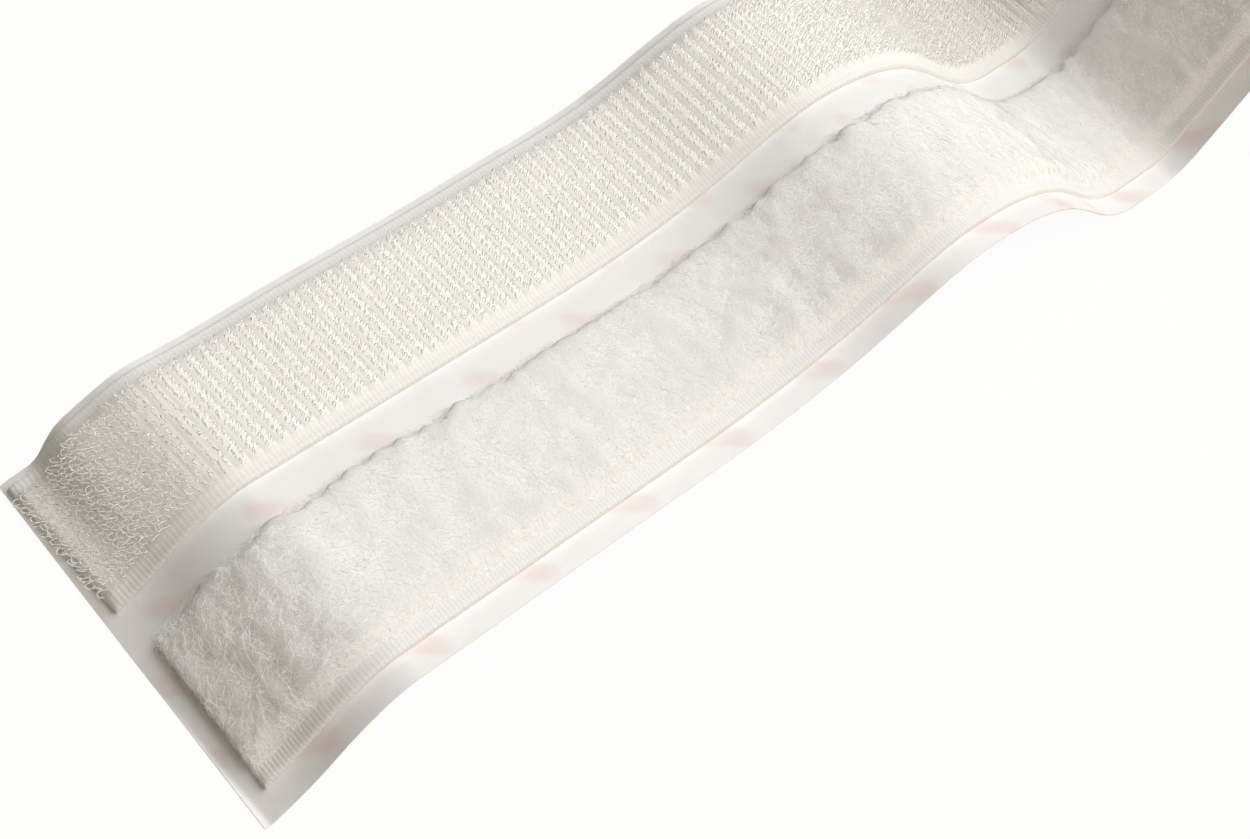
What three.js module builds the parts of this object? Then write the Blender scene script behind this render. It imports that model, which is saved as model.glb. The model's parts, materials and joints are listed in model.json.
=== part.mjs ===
// A length of self-adhesive hook and loop tape. Two woven tapes, one with hooks and one with loops,
// lie side by side on one release liner. The free end is laid out on a table, and the rest is wound
// on itself, liner inwards, into a roll that has no core.
// Millimetres, +Z up. +X runs from the free end to the roll, and +Y points to the hook tape's side.

import * as THREE from 'three';

// Widths across the strip, from the hook tape's side to the loop tape's side
const HOOK_MARGIN = 0.5;
const HOOK_WIDTH = 20;
const TAPE_GAP = 5.8;
const LOOP_WIDTH = 20;
const LOOP_MARGIN = 3.2;
const SELVAGE = 1.85;

// Layers of the strip, from the liner's underside upwards
const LINER_THICKNESS = 0.15;
const ADHESIVE_THICKNESS = 0.2;
const GROUND_THICKNESS = 0.6;
const HOOK_HEIGHT = 1.4;
const LOOP_HEIGHT = 1.4;
const LAYER_GAP = 0.05;

// Hook rows: one row stands on every third weft pick, with a groove between rows
const PICK_PITCH = 0.6;
const PICKS_PER_ROW = 3;
const GROOVE_DEPTH = 0.7;
const ROW_FLANK = 0.4;

// Lie of the free end: its whole run along the table, the runs between named points of the liner's
// underside, the height of each point and the rise per millimetre there
const FREE_RUN = 150;
const LIP = 2;
const TOE_RISE = 0.15;
const SLOPE_RUN = 8;
const SLOPE_HEIGHT = 5.2;
const SLOPE_RISE = 0.93;
const SHOULDER_RUN = 11;
const PLATEAU_HEIGHT = 10.7;
const TIP_RUN = 5;
const FLAP_RUN = 23;
const RAMP_HEIGHT = 13.6;
const RAMP_RISE = 0.27;
const CREST_RUN = 21;
const CREST_HEIGHT = 19.6;
const FALL_RUN = 19;
const FALL_HEIGHT = 14.2;
const FALL_RISE = -0.6;
const LANDING_RUN = 24;
const VALLEY_FLAT = 5;
const VALLEY_RADIUS = 9;
const RISE_ANGLE = 52.5;

// Roll: the radius of its bore, its turns, the air between turns and the facets of one turn
const BORE_RADIUS = 14;
const TURNS = 5.5;
const WINDING_GAP = 0.5;
const TURN_STEPS = 24;

// Flex lines, where the strip bends when it is lifted or peeled
const LIFT_ANGLE = 60;
const PEEL_ANGLE = 55;
const FLEX_GAP = 0.3;

const radians = THREE.MathUtils.degToRad;

// Heights of each layer's two faces above the liner's underside
const LINER_LAYER = { low: 0, high: LINER_THICKNESS };
const ADHESIVE_LAYER = layerOn(LINER_LAYER, ADHESIVE_THICKNESS);
const GROUND_LAYER = layerOn(ADHESIVE_LAYER, GROUND_THICKNESS);
const HOOK_LAYER = layerOn(GROUND_LAYER, HOOK_HEIGHT);
const LOOP_LAYER = layerOn(GROUND_LAYER, LOOP_HEIGHT);
const STACK = Math.max(HOOK_LAYER.high, LOOP_LAYER.high);
const FLEX_HEIGHT = GROUND_LAYER.high;

function layerOn(below, thickness) {
  const low = below.high + LAYER_GAP;
  return { low, high: low + thickness };
}

// Places of each piece across the strip, centred on the liner
const LINER_WIDTH = HOOK_MARGIN + HOOK_WIDTH + TAPE_GAP + LOOP_WIDTH + LOOP_MARGIN;
const LINER_ACROSS = { high: LINER_WIDTH / 2, width: LINER_WIDTH };
const HOOK_ACROSS = { high: LINER_ACROSS.high - HOOK_MARGIN, width: HOOK_WIDTH };
const HOOK_FIELD_ACROSS = { high: HOOK_ACROSS.high - SELVAGE, width: HOOK_WIDTH - 2 * SELVAGE };
const LOOP_ACROSS = { high: HOOK_ACROSS.high - HOOK_WIDTH - TAPE_GAP, width: LOOP_WIDTH };
const LOOP_PILE_ACROSS = { high: LOOP_ACROSS.high, width: LOOP_WIDTH - SELVAGE };

// The long ramp up to the crest takes what the other runs leave of the free end
const TIP_END = SLOPE_RUN + SHOULDER_RUN + TIP_RUN;
const RAMP_RUN = FREE_RUN - TIP_END - FLAP_RUN - CREST_RUN - FALL_RUN - LANDING_RUN;

// The path of the liner's underside, from the toe of the free end to the inner end of the roll.
// Each point keeps its distance along the path and its normal, which points to the hooks and loops.
const path = [];

function lay(x, z, heading) {
  const point = new THREE.Vector2(x, z);
  const normal = new THREE.Vector2(-Math.sin(heading), Math.cos(heading));
  const last = path.at(-1);
  const along = last ? last.along + last.point.distanceTo(point) : 0;
  path.push({ point, normal, along });
  return along;
}

// The free end is a chain of cubic curves, each matching the height and the rise at its two ends
let place = { x: 0, z: 0, rise: TOE_RISE };
lay(place.x, place.z, Math.atan(place.rise));

function layTo(run, z, rise, steps) {
  const from = place;
  place = { x: from.x + run, z, rise };
  let along = 0;
  for (let step = 1; step <= steps; step += 1) {
    const t = step / steps;
    const s = 1 - t;
    const height = from.z * s * s * (1 + 2 * t) + z * t * t * (3 - 2 * t)
      + run * s * t * (from.rise * s - rise * t);
    const slope = (6 * s * t * (z - from.z)) / run
      + from.rise * s * (1 - 3 * t) + rise * t * (3 * t - 2);
    along = lay(from.x + run * t, height, Math.atan(slope));
  }
  return along;
}

layTo(SLOPE_RUN, SLOPE_HEIGHT, SLOPE_RISE, 4);
layTo(SHOULDER_RUN, PLATEAU_HEIGHT, 0, 5);
const curlAlong = layTo(TIP_RUN, PLATEAU_HEIGHT, 0, 1);
const peelAlong = layTo(FLAP_RUN, PLATEAU_HEIGHT, 0, 1);
layTo(RAMP_RUN, RAMP_HEIGHT, RAMP_RISE, 6);
layTo(CREST_RUN, CREST_HEIGHT, 0, 6);
layTo(FALL_RUN, FALL_HEIGHT, FALL_RISE, 5);
const liftAlong = layTo(LANDING_RUN, 0, 0, 6);
layTo(VALLEY_FLAT, 0, 0, 1);

// The strip then bends up off the table on an arc and climbs straight to the roll
const ARC_STEPS = 5;
const rise = radians(RISE_ANGLE);
for (let step = 1; step <= ARC_STEPS; step += 1) {
  const turned = (rise * step) / ARC_STEPS;
  const x = place.x + VALLEY_RADIUS * Math.sin(turned);
  lay(x, VALLEY_RADIUS * (1 - Math.cos(turned)), turned);
}
const foot = path.at(-1).point;

// The roll winds inwards clockwise, from a take-off point where the climb is its tangent.
// It loses one pitch a turn, and its lowest outer point stands on the table.
const PITCH = STACK + WINDING_GAP;
const OUTER_RADIUS = BORE_RADIUS + TURNS * PITCH;
const takeOff = rise + Math.PI / 2;
const spiral = [];
for (let step = 0; step <= Math.round(TURNS * TURN_STEPS); step += 1) {
  const turns = step / TURN_STEPS;
  spiral.push({ radius: OUTER_RADIUS - PITCH * turns, angle: takeOff - 2 * Math.PI * turns });
}
const outerHeights = spiral.map(({ radius, angle }) => (radius + STACK) * Math.sin(angle));
const rollHeight = -Math.min(...outerHeights);
const climb = rollHeight + OUTER_RADIUS * Math.sin(takeOff) - foot.y;
const rollX = foot.x + climb / Math.tan(rise) - OUTER_RADIUS * Math.cos(takeOff);
const rollAlong = path.length;
for (const { radius, angle } of spiral) {
  const x = rollX + radius * Math.cos(angle);
  lay(x, rollHeight + radius * Math.sin(angle), angle - Math.PI / 2);
}
const takeOffAlong = path[rollAlong].along;
const stripLength = path.at(-1).along;

// A point at a distance along the path, lifted off the liner's underside by a height
function pointAt(along, height) {
  const next = Math.max(1, path.findIndex((station) => station.along >= along - 1e-9));
  const [a, b] = [path[next - 1], path[next]];
  const t = (along - a.along) / (b.along - a.along);
  const point = a.point.clone().lerp(b.point, t);
  const normal = a.normal.clone().lerp(b.normal, t).normalize();
  return point.addScaledVector(normal, height);
}

// The ends of a piece: a plain cut, or one side of a flex line. There half the flex gap is left, and
// what stands above the ground's top, where the bend is, leans back by half the angle.
const cut = (along) => ({ along, gap: 0, lean: 0 });
const flex = (along, angle) => ({ along, gap: FLEX_GAP / 2, lean: Math.tan(radians(angle) / 2) });

function inset(end, height) {
  return end.gap + end.lean * Math.max(0, height - FLEX_HEIGHT);
}

// The stations of a plain piece between its two ends, all at the height of its upper face
function plainTops(from, to, layer) {
  const start = from.along + inset(from, layer.high);
  const stop = to.along - inset(to, layer.high);
  const between = path.filter(({ along }) => along > start && along < stop);
  return between.map(({ along }) => ({ along, height: layer.high }));
}

// The stations of a hook field: a groove between rows as far as the take-off point, and then a plain
// top, because the rows close up in the roll
function rowTops(from, to, layer) {
  const pitch = PICKS_PER_ROW * PICK_PITCH;
  const start = from.along + inset(from, layer.high);
  const stop = Math.min(to.along - inset(to, layer.high), takeOffAlong);
  const rows = Math.floor((stop - start) / pitch);
  const end = start + rows * pitch;
  const topAt = (along) => {
    const edge = Math.abs(along - start - pitch * Math.round((along - start) / pitch));
    const sunk = along < end ? GROOVE_DEPTH * Math.max(0, 1 - edge / ROW_FLANK) : 0;
    return { along, height: layer.high - sunk };
  };
  const breaks = [];
  for (let row = 0; row < rows; row += 1) {
    const groove = start + row * pitch;
    if (row > 0) breaks.push(topAt(groove));
    breaks.push(topAt(groove + ROW_FLANK), topAt(groove + pitch - ROW_FLANK));
  }
  const apart = ({ along }) => breaks.every((other) => Math.abs(other.along - along) > LAYER_GAP);
  const bends = plainTops(from, to, layer).filter(apart).map(({ along }) => topAt(along));
  return [...breaks, ...bends].sort((a, b) => a.along - b.along);
}

const tape = new THREE.Group();

// A piece of the strip: a four-sided section carried along the path, with a section at each end and
// at each station between them, and a flat cap on both ends
function addPiece(name, finish, layer, across, from, to, tops = plainTops(from, to, layer)) {
  const ends = [from, to].map((end, side) => [layer.low, layer.high].map((height) => (
    pointAt(end.along + (side ? -1 : 1) * inset(end, height), height))));
  const between = tops.map(({ along, height }) => [pointAt(along, layer.low), pointAt(along, height)]);
  const sections = [ends[0], ...between, ends[1]];
  const left = across.high;
  const right = across.high - across.width;
  const corners = sections.flatMap(([low, high]) => [
    low.x, right, low.y, low.x, left, low.y, high.x, left, high.y, high.x, right, high.y]);
  const faces = [0, 2, 1, 0, 3, 2];
  for (let ring = 0; ring < 4 * (sections.length - 1); ring += 4) {
    for (let side = 0; side < 4; side += 1) {
      const [a, b] = [ring + side, ring + ((side + 1) % 4)];
      faces.push(a, b, b + 4, a, b + 4, a + 4);
    }
  }
  const last = 4 * (sections.length - 1);
  faces.push(last, last + 1, last + 2, last, last + 2, last + 3);
  const geometry = new THREE.BufferGeometry();
  geometry.setAttribute('position', new THREE.Float32BufferAttribute(corners, 3));
  geometry.setIndex(faces);
  geometry.computeVertexNormals();
  const piece = new THREE.Mesh(geometry, finish);
  piece.name = name;
  tape.add(piece);
}

// Finishes
const finish = (color, roughness) => new THREE.MeshStandardMaterial({ color, roughness, metalness: 0 });
const linerFilm = finish('#eceae8', 0.3);
const adhesive = finish('#ded9c8', 0.25);
const hookWeave = finish('#ece8dc', 0.6);
const hookNylon = finish('#efece2', 0.35);
const loopWeave = finish('#e6e5e0', 0.7);
const loopNylon = finish('#ebebe8', 0.9);

// The hook tape: adhesive, woven ground and hook rows
function addHookTape(section, from, to) {
  addPiece(`${section}_adhesive`, adhesive, ADHESIVE_LAYER, HOOK_ACROSS, from, to);
  addPiece(`${section}_ground`, hookWeave, GROUND_LAYER, HOOK_ACROSS, from, to);
  const rows = rowTops(from, to, HOOK_LAYER);
  addPiece(`${section}_field`, hookNylon, HOOK_LAYER, HOOK_FIELD_ACROSS, from, to, rows);
}

// The loop tape: adhesive, woven ground and brushed pile
function addLoopTape(section, from, to) {
  addPiece(`${section}_adhesive`, adhesive, ADHESIVE_LAYER, LOOP_ACROSS, from, to);
  addPiece(`${section}_ground`, loopWeave, GROUND_LAYER, LOOP_ACROSS, from, to);
  addPiece(`${section}_pile`, loopNylon, LOOP_LAYER, LOOP_PILE_ACROSS, from, to);
}

// The strip's sections, from the roll to the free end. The liner bends only where the tail is lifted,
// and each tape's last stretch can also be peeled off it in two steps.
const lift = flex(liftAlong, LIFT_ANGLE);
const peel = flex(peelAlong, PEEL_ANGLE);
const curl = flex(curlAlong, PEEL_ANGLE);
const innerEnd = cut(stripLength);
const tapeEnd = cut(LIP);
addPiece('roll_liner', linerFilm, LINER_LAYER, LINER_ACROSS, lift, innerEnd);
addPiece('tail_liner', linerFilm, LINER_LAYER, LINER_ACROSS, cut(0), lift);
addHookTape('roll_hook', lift, innerEnd);
addHookTape('tail_hook', peel, lift);
addHookTape('hook_flap', curl, peel);
addHookTape('hook_tip', tapeEnd, curl);
addLoopTape('roll_loop', lift, innerEnd);
addLoopTape('tail_loop', peel, lift);
addLoopTape('loop_flap', curl, peel);
addLoopTape('loop_tip', tapeEnd, curl);

// The least gap between turns, from points on the outer face to the inner face of the turn around it
function leastWindingGap() {
  const wound = path.slice(rollAlong - 1).map((station) => station.along);
  const samples = wound.slice(1).flatMap((s, i) => [(s + wound[i]) / 2, s]);
  const inner = samples.map((s) => ({ s, point: pointAt(s, 0) }));
  let least = Infinity;
  for (const s of samples) {
    const outer = pointAt(s, STACK);
    for (const face of inner) {
      if (s - face.s > BORE_RADIUS) least = Math.min(least, outer.distanceTo(face.point));
    }
  }
  return least;
}
console.log(`least gap between turns ${leastWindingGap().toFixed(3)} mm`);
console.log(`length of the strip ${stripLength.toFixed(1)} mm`);

// The origin is on the table, under the middle of the whole strip
const middle = new THREE.Box3().setFromObject(tape).getCenter(new THREE.Vector3());
tape.position.set(-middle.x, -middle.y, 0);

export default tape;
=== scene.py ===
import json

import bpy
import numpy as np
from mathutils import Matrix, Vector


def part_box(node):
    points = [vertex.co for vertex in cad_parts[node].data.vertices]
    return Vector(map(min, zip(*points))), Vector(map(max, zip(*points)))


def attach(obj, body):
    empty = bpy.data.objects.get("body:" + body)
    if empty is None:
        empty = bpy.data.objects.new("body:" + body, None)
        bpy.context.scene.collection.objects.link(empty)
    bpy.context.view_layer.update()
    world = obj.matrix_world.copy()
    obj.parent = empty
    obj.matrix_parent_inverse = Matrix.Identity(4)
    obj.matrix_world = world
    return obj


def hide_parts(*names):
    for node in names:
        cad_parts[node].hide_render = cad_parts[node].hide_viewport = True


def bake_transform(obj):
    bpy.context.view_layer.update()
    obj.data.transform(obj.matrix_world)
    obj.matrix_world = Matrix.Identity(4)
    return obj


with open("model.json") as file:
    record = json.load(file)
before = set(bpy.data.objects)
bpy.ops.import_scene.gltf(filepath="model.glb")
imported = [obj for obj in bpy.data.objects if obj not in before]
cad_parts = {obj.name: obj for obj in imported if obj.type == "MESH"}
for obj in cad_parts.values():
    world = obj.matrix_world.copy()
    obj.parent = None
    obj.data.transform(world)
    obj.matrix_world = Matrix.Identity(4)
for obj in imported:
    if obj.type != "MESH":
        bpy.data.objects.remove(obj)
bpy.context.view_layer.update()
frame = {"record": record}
hinges = {joint["name"]: np.array(joint["pos_m"]) for joint in frame["record"]["behaviour"]["joints"]}
rng = np.random.default_rng(20)


# Release liner: one translucent film that carries both tapes on their adhesive. It is slit to width,
# cut off a little askew at the free end, printed with pale slanted bars, and wound inwards in the roll.
LINER_LOW, LINER_HIGH = (np.array(corner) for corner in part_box("tail_liner"))
TOE = LINER_LOW[0]
LINER_RIGHT, LINER_LEFT = LINER_LOW[1], LINER_HIGH[1]
LINER_THICKNESS = 0.00015
STACK = 0.0025

# Points that the liner's underside passes: distance from the toe, height over the table, and rise
LIE = np.array([
    (-0.001, 0, 0), (0, 0, 0.45), (0.008, 0.0052, 0.93), (0.019, 0.0107, 0), (0.047, 0.0107, 0),
    (0.086, 0.0136, 0.27), (0.107, 0.0196, 0), (0.126, 0.0142, -0.6), (0.150, 0, 0), (0.155, 0, 0)])
VALLEY_RADIUS = 0.009
RISE_ANGLE = np.radians(52.5)
BORE_RADIUS = 0.014
TURNS = 5.5
PITCH = 0.003
CURVE_POINTS, ARC_POINTS, SPIRAL_POINTS = 120, 60, 2400

# Soft bumps of the hook tape's outer edge: distance from the toe, spread and lift
EDGE_BUMPS = [
    (0.0055, 0.0022, -0.0011), (0.011, 0.0025, 0.0005), (0.026, 0.012, -0.0009), (0.072, 0.012, 0.0009)]
EDGE_FROM = 0.004


def soft_step(value, start, stop):
    """0 before start and 1 after stop, with a smooth cubic between them."""
    t = np.clip((value - start) / (stop - start), 0, 1)
    return t * t * (3 - 2 * t)


def free_end():
    """Cubic curves through the points of the lie, each matching the height and the rise at both ends,
    and none of them under the table."""
    t = np.linspace(0, 1, CURVE_POINTS)
    s = 1 - t
    (x, z, rise), (x_next, z_next, rise_next) = LIE[:-1].T[..., None], LIE[1:].T[..., None]
    run = x_next - x
    height = (z * s * s * (1 + 2 * t) + z_next * t * t * (3 - 2 * t)
              + run * s * t * (rise * s - rise_next * t))
    slope = (6 * s * t * (z_next - z) / run
             + rise * s * (1 - 3 * t) + rise_next * t * (3 * t - 2))
    return np.stack([(x + run * t).ravel(), np.maximum(height, 0).ravel(), np.arctan(slope).ravel()])


def climb_and_roll():
    """An arc up off the table, a straight climb, and a spiral that loses one pitch a turn, clockwise."""
    bend = np.linspace(0, RISE_ANGLE, ARC_POINTS)
    arc = np.stack([LIE[-1, 0] + VALLEY_RADIUS * np.sin(bend), VALLEY_RADIUS * (1 - np.cos(bend)), bend])
    turns = np.linspace(0, TURNS, SPIRAL_POINTS)
    radius = BORE_RADIUS + PITCH * (TURNS - turns)
    angle = RISE_ANGLE + np.pi / 2 - 2 * np.pi * turns
    middle_z = -((radius + STACK) * np.sin(angle)).min()
    climb = middle_z + radius[0] * np.sin(angle[0]) - arc[1, -1]
    middle_x = arc[0, -1] + climb / np.tan(RISE_ANGLE) - radius[0] * np.cos(angle[0])
    spiral = [middle_x + radius * np.cos(angle), middle_z + radius * np.sin(angle), angle - np.pi / 2]
    return np.concatenate([arc, np.stack(spiral)], axis=1), arc.shape[1]


LAID = free_end()
WOUND, CLIMB_POINT = climb_and_roll()
PATH_X, PATH_Z, PATH_TURN = np.concatenate([LAID, WOUND], axis=1)
PATH_ALONG = np.cumsum(np.hypot(np.diff(PATH_X, prepend=PATH_X[0]), np.diff(PATH_Z, prepend=0))) + LIE[0, 0]
TAKE_OFF = PATH_ALONG[LAID.shape[1] + CLIMB_POINT]
OUTER_TURN_END = TAKE_OFF + 2 * np.pi * (BORE_RADIUS + PITCH * (TURNS - 0.5))
INNER_END = PATH_ALONG[-1]


def distance_to(x):
    """How far along the strip its free end passes this x of the frame."""
    return np.interp(x - TOE, LAID[0], PATH_ALONG[:LAID.shape[1]])


def on_strip(along, across, height):
    """Points of the strip: the path's point at that distance, moved square to the path by the height.
    Near the hook tape's outer edge the height also takes the edge's soft bumps."""
    along, across, height = np.broadcast_arrays(along, across, height)
    x, z, turn = (np.interp(along, PATH_ALONG, values) for values in (PATH_X, PATH_Z, PATH_TURN))
    bump = sum(lift * np.exp(-((along - place) / spread) ** 2) for place, spread, lift in EDGE_BUMPS)
    height = height + bump * soft_step(across, EDGE_FROM, LINER_LEFT)
    return np.stack([TOE + x - height * np.sin(turn), across, z + height * np.cos(turn)], axis=-1)


SHARP_RIM = np.radians(60)


def put_mesh(name, points, faces, place, material, shade):
    """A mesh piece from points and arrays of corner numbers. Its UV map is each point's distance along
    and across the strip, in metres, and shade is an extra value for each point."""
    corners = np.concatenate([group.ravel() for group in faces])
    sizes = np.concatenate([np.full(len(group), group.shape[1]) for group in faces])
    mesh = bpy.data.meshes.new(name)
    mesh.vertices.add(len(points))
    mesh.vertices.foreach_set("co", points.astype(np.float32).ravel())
    mesh.loops.add(len(corners))
    mesh.loops.foreach_set("vertex_index", corners.astype(np.int32))
    mesh.polygons.add(len(sizes))
    mesh.polygons.foreach_set("loop_start", (np.cumsum(sizes) - sizes).astype(np.int32))
    mesh.polygons.foreach_set("use_smooth", np.ones(len(sizes), bool))
    mesh.update(calc_edges=True)
    mesh.uv_layers.new(name="Strip").uv.foreach_set("vector", place[corners].astype(np.float32).ravel())
    mesh.attributes.new("shade", "FLOAT", "POINT").data.foreach_set("value", shade.astype(np.float32))
    mesh.materials.append(material)
    piece = bpy.data.objects.new(name, mesh)
    bpy.context.scene.collection.objects.link(piece)
    return piece


def tube_faces(rings, corners):
    """Four-sided faces between each ring of corners and the next one, closed round the ring."""
    ring = np.arange(rings - 1)[:, None] * corners
    here = np.arange(corners)
    beside = (here + 1) % corners
    sides = [ring + here, ring + beside, ring + beside + corners, ring + here + corners]
    return np.stack(sides, axis=-1).reshape(-1, 4)


def band(name, along, across, low, high, material, shade=0.0):
    """A closed strip: a lower and an upper sheet over one grid, joined at its two edges and two ends."""
    along, across, low, high, shade = np.broadcast_arrays(along, across, low, high, shade)
    rows, columns = along.shape

    def round_section(below, above):
        return np.concatenate([below, above[:, ::-1]], axis=1)

    points = round_section(on_strip(along, across, low), on_strip(along, across, high))
    place = np.stack([round_section(along, along), round_section(across, across)], axis=-1)
    corner = np.arange(columns - 1)
    cap = np.stack([corner, corner + 1, 2 * columns - 2 - corner, 2 * columns - 1 - corner], axis=-1)
    far_cap = cap + 2 * columns * (rows - 1)
    faces = np.concatenate([tube_faces(rows, 2 * columns), cap[:, ::-1], far_cap])
    shade = round_section(shade, shade).ravel()
    piece = put_mesh(name, points.reshape(-1, 3), [faces], place.reshape(-1, 2), material, shade)
    piece.data.set_sharp_from_angle(angle=SHARP_RIM)
    return piece


def put_node(tree, kind, inputs=(), **settings):
    """A shader node with its settings made, and its inputs set to plain values or linked to sockets."""
    made = tree.nodes.new(kind)
    for key, value in settings.items():
        setattr(made, key, value)
    for key, value in dict(inputs).items():
        if isinstance(value, bpy.types.NodeSocket):
            tree.links.new(value, made.inputs[key])
        else:
            made.inputs[key].default_value = value
    return made


def new_finish(name, values):
    """A material, its node tree and its Principled shader with these plain values on its sockets."""
    material = bpy.data.materials.new(name)
    material.use_nodes = True
    shader = material.node_tree.nodes["Principled BSDF"]
    for socket, value in values.items():
        shader.inputs[socket].default_value = value
    return material, material.node_tree, shader


def maths(tree, operation, *values):
    """The result of a maths node on plain values or sockets."""
    return put_node(tree, "ShaderNodeMath", enumerate(values), operation=operation).outputs[0]


def vector_maths(tree, operation, *values):
    """The result of a vector maths node on plain vectors or sockets. A length comes out as one value."""
    made = put_node(tree, "ShaderNodeVectorMath", enumerate(values), operation=operation)
    return made.outputs["Value" if operation == "LENGTH" else "Vector"]


# Places of the two colours and of their mix among the sockets of a mix node
FIRST_COLOUR, SECOND_COLOUR, MIXED_COLOUR = 6, 7, 2


def mixed_colour(tree, factor, first, second):
    """The first colour where the factor is 0, and the second where it is 1."""
    inputs = {"Factor": factor, FIRST_COLOUR: first, SECOND_COLOUR: second}
    return put_node(tree, "ShaderNodeMix", inputs, data_type="RGBA").outputs[MIXED_COLOUR]


def strip_map(tree):
    """Each point's distance along and across the strip, from its UV map."""
    return put_node(tree, "ShaderNodeUVMap", uv_map="Strip").outputs["UV"]


def strip_noise(tree, scale, detail, distortion=0.0):
    """Soft noise over the strip, with about that many waves a metre."""
    inputs = {"Vector": strip_map(tree), "Scale": scale, "Detail": detail, "Distortion": distortion}
    return put_node(tree, "ShaderNodeTexNoise", inputs).outputs["Fac"]


def raise_bump(tree, shader, height, strength, distance):
    """The shader's surface follows this height as a fine bump."""
    bump = put_node(tree, "ShaderNodeBump", {"Height": height, "Strength": strength, "Distance": distance})
    tree.links.new(bump.outputs[0], shader.inputs["Normal"])


FILM_COLOUR = (0.985, 0.98, 0.975, 1)
PRINT_COLOUR = (0.92, 0.80, 0.78, 1)
PRINT_TILT = np.radians(35)
# A printed bar's cell in metres, and in shares of the cell its middle, half the bar and its soft edge
PRINT_CELL = (0.0125, 0.0085, 1)
CELL_MIDDLE = (0.5, 0.5, 0)
HALF_BAR = (0.22, 0.04, 0)
BAR_EDGE_START, BAR_EDGE_END = 0.02, 0.16
BAR_STRENGTH = 1.2

film, tree, shader = new_finish("release film", {"Roughness": 0.3, "IOR": 1.5, "Alpha": 0.94})
tilted = put_node(tree, "ShaderNodeMapping", {"Vector": strip_map(tree), "Rotation": (0, 0, PRINT_TILT)})
cell = vector_maths(tree, "FRACTION", vector_maths(tree, "DIVIDE", tilted.outputs[0], PRINT_CELL))
from_middle = vector_maths(tree, "ABSOLUTE", vector_maths(tree, "SUBTRACT", cell, CELL_MIDDLE))
past_bar = vector_maths(tree, "SUBTRACT", from_middle, HALF_BAR)
bar_gap = vector_maths(tree, "LENGTH", vector_maths(tree, "MAXIMUM", past_bar, (0, 0, 0)))
bar = put_node(tree, "ShaderNodeMapRange", {
    "Value": bar_gap, "From Min": BAR_EDGE_START, "From Max": BAR_EDGE_END,
    "To Min": BAR_STRENGTH, "To Max": 0}, interpolation_type="SMOOTHSTEP")
haze = strip_noise(tree, scale=260, detail=2)
faded = maths(tree, "MULTIPLY", bar.outputs[0], haze)
tree.links.new(mixed_colour(tree, faded, FILM_COLOUR, PRINT_COLOUR), shader.inputs["Base Color"])
raise_bump(tree, shader, haze, strength=0.25, distance=0.0004)

# The free end is cut askew: this far from the toe at the film's two corners, fading out along the strip
CUT_RIGHT, CUT_LEFT = -0.00084, 0.00115
CUT_FADE = 0.02
# The film shows past the hook tape's outer edge by this much on each side of the solids' common edge
FILM_SHOW = 0.0003
# The reach of the bend from the hinge, for when the free end is lifted
LIFT_REACH = (-0.024, 0, 0)
# The grid has fine steps up to this distance, and coarse ones after it
FILM_FINE_TO, FILM_FINE_STEP, FILM_STEP = 0.03, 0.0003, 0.001
FILM_COLUMNS = 24

fine_along = np.arange(0, FILM_FINE_TO, FILM_FINE_STEP)
coarse_along = np.arange(FILM_FINE_TO, INNER_END, FILM_STEP)
liner_along = np.concatenate([fine_along, coarse_along, [INNER_END]])[:, None]
liner_across = np.linspace(LINER_RIGHT, LINER_LEFT + FILM_SHOW, FILM_COLUMNS)
askew = np.interp(liner_across, [LINER_RIGHT, LINER_LEFT], [CUT_RIGHT, CUT_LEFT])
liner_along = liner_along + askew * (1 - soft_step(liner_along, 0, CUT_FADE))
liner = band("liner", liner_along, liner_across, 0, LINER_THICKNESS, film)
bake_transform(liner)
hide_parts("roll_liner", "tail_liner")


# Adhesive coats: a tacky pale coat on the whole back of each tape. It shows along the tapes' edges, and
# on their backs where they are peeled off the liner.
ADHESIVE_LOW, ADHESIVE_HIGH = 0.00016, 0.00044
COAT_STEP, COAT_COLUMNS = 0.001, 8
TAPE_FRONT = 0.002
HOOK_PICK, LOOP_PICK = 0.0006, 0.00052
ROW_PITCH = 3 * HOOK_PICK
FIRST_ROW = TAPE_FRONT + ROW_PITCH / 2
# Which of the lie's points is the one on the rise to the crest
RISE_POINT = 5
# The tapes are cut into lengths between two rows of hooks: in mid-flap, and on the rise to the crest
FLAP_CUT, RAMP_CUT = (
    FIRST_ROW + ROW_PITCH * (np.floor((distance_to(x) - FIRST_ROW) / ROW_PITCH) + 0.5)
    for x in ((hinges["hook_peel"][0] + hinges["hook_curl"][0]) / 2, TOE + LIE[RISE_POINT, 0]))
HOOK_RIGHT, HOOK_LEFT = (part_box("hook_flap_ground")[side][1] for side in (0, 1))
HOOK_LEFT -= FILM_SHOW
LOOP_RIGHT, LOOP_LEFT = (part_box("loop_flap_ground")[side][1] for side in (0, 1))
TAPES = {"hook": (HOOK_RIGHT, HOOK_LEFT), "loop": (LOOP_RIGHT, LOOP_LEFT)}
# How far each tape's cut end is shifted along the strip at its right and left edges
FRONT_CUTS = {"hook": (0.0001, -0.0002), "loop": (0, 0.0011)}


def cut_askew(along, across, tape):
    """Each tape's cut end runs a little askew, and the shift fades out further along the strip."""
    shift = np.interp(across, TAPES[tape], FRONT_CUTS[tape])
    return along + shift * (1 - soft_step(along, TAPE_FRONT, CUT_FADE))


# The reach of a curled or peeled tape's bend past the hinge
CURL_REACH, PEEL_REACH = 0.009, 0.010
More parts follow.
